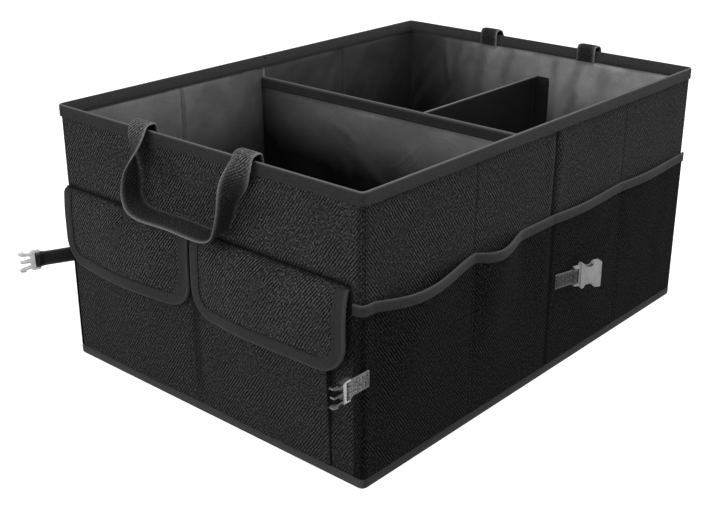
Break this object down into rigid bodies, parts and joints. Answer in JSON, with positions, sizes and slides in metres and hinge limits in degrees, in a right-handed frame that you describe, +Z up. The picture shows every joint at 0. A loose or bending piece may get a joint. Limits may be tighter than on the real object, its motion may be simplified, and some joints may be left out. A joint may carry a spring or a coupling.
{
  "type": "car trunk organizer",
  "caption": "Collapsible fabric box for a car trunk, with stiff boards, dividers, lidded front pockets, side pockets, carrying handles and buckled straps.",
  "frame": {"origin": "on the underside of the base, in the middle of the box", "axes": "+Z up, +Y towards the plain end wall, -Y towards the end wall with the lidded pockets, +X towards the long wall on the right when the lidded pockets face the viewer"},
  "size_m": [0.43, 0.6001, 0.2667],
  "materials": {
    "twill": "near-black polyester twill",
    "lining": "smooth grey satin lining",
    "tape": "dark grey grosgrain binding tape",
    "handle_webbing": "dark twill webbing",
    "strap_webbing": "grey ribbed webbing",
    "buckle": "moulded grey nylon",
    "grip": "black hook and loop tape",
    "board": "plain greyboard"
  },
  "bodies": {
    "root": {"back_wall_grip_strip": "grip", "base_tape": "tape", "board_back": "board", "board_base_front": "board", "board_base_rear": "board", "board_front": "board", "board_left_front": "board", "board_left_rear": "board", "board_right_front": "board", "board_right_rear": "board", "cross_divider_board": "board", "cross_divider_front_cloth": "lining", "cross_divider_grip_strip": "grip", "cross_divider_rear_cloth": "lining", "cross_divider_tape": "tape", "front_pocket_panel": "twill", "front_pocket_tape": "tape", "handle_back_sewn_end_left": "handle_webbing", "handle_back_sewn_end_right": "handle_webbing", "handle_front_sewn_end_left": "handle_webbing", "handle_front_sewn_end_right": "handle_webbing", "lining_back": "lining", "lining_floor": "lining", "lining_front": "lining", "lining_left": "lining", "lining_right": "lining", "outer_back": "twill", "outer_base": "twill", "outer_front": "twill", "outer_left": "twill", "outer_right": "twill", "pocket_left_loop_patch": "grip", "pocket_right_loop_patch": "grip", "rim_tape": "tape", "side_pocket_left_panel": "twill", "side_pocket_left_tape": "tape", "side_pocket_right_panel": "twill", "side_pocket_right_tape": "tape"},
    "left_flap": {"flap_left": "twill", "flap_left_tape": "tape", "flap_left_hook_patch": "grip"},
    "right_flap": {"flap_right": "twill", "flap_right_tape": "tape", "flap_right_hook_patch": "grip"},
    "front_handle": {"handle_front_loop": "handle_webbing"},
    "back_handle": {"handle_back_loop": "handle_webbing"},
    "lift_out_divider": {"long_divider_cover": "twill", "long_divider_board": "board", "long_divider_tab_front": "grip", "long_divider_tab_rear": "grip"},
    "front_right_strap": {"strap_front_right": "strap_webbing"},
    "front_right_buckle": {"buckle_male_right": "buckle"},
    "front_left_strap": {"strap_front_left": "strap_webbing"},
    "front_left_buckle": {"buckle_male_left": "buckle"},
    "middle_right_strap": {"strap_middle_right": "strap_webbing"},
    "middle_right_buckle": {"buckle_female_right": "buckle"},
    "middle_left_strap": {"strap_middle_left": "strap_webbing"},
    "middle_left_buckle": {"buckle_female_left": "buckle"}
  },
  "joints": [
    {"name": "left_flap_hinge", "type": "hinge", "parent": "root", "child": "left_flap", "pos_m": [-0.098, -0.2633, 0.18], "axis": [-1, 0, 0], "range_deg": [0, 60]},
    {"name": "right_flap_hinge", "type": "hinge", "parent": "root", "child": "right_flap", "pos_m": [0.0865, -0.2633, 0.18], "axis": [-1, 0, 0], "range_deg": [0, 60]},
    {"name": "front_handle_swing", "type": "hinge", "parent": "root", "child": "front_handle", "pos_m": [0, -0.26065, 0.2666], "axis": [-1, 0, 0], "range_deg": [0, 155]},
    {"name": "back_handle_swing", "type": "hinge", "parent": "root", "child": "back_handle", "pos_m": [0, 0.26065, 0.2666], "axis": [1, 0, 0], "range_deg": [0, 155]},
    {"name": "divider_lift", "type": "slide", "parent": "root", "child": "lift_out_divider", "axis": [0, 0, 1], "range_m": [0, 0.25]},
    {"name": "front_right_strap_swing", "type": "hinge", "parent": "root", "child": "front_right_strap", "pos_m": [0.1916, -0.2585, 0.103], "axis": [0, 0, 1], "range_deg": [0, 90]},
    {"name": "front_right_buckle_pivot", "type": "hinge", "parent": "front_right_strap", "child": "front_right_buckle", "pos_m": [0.1923, -0.2835, 0.103], "axis": [0, 0, 1], "range_deg": [-25, 25]},
    {"name": "front_left_strap_swing", "type": "hinge", "parent": "root", "child": "front_left_strap", "pos_m": [-0.1916, -0.2585, 0.106], "axis": [0, 0, -1], "range_deg": [-18, 66]},
    {"name": "front_left_buckle_pivot", "type": "hinge", "parent": "front_left_strap", "child": "front_left_buckle", "pos_m": [-0.20729, -0.29202, 0.106], "axis": [0, 0, -1], "range_deg": [-11, 34]},
    {"name": "middle_right_strap_swing", "type": "hinge", "parent": "root", "child": "middle_right_strap", "pos_m": [0.1916, 0.014, 0.096], "axis": [0, 0, -1], "range_deg": [-4, 66]},
    {"name": "middle_right_buckle_pivot", "type": "hinge", "parent": "middle_right_strap", "child": "middle_right_buckle", "pos_m": [0.19857, 0.03906, 0.096], "axis": [0, 0, -1], "range_deg": [-15, 25]},
    {"name": "middle_left_strap_swing", "type": "hinge", "parent": "root", "child": "middle_left_strap", "pos_m": [-0.1916, 0.014, 0.096], "axis": [0, 0, 1], "range_deg": [-4, 66]},
    {"name": "middle_left_buckle_pivot", "type": "hinge", "parent": "middle_left_strap", "child": "middle_left_buckle", "pos_m": [-0.19857, 0.03906, 0.096], "axis": [0, 0, 1], "range_deg": [-15, 25]}
  ]
}
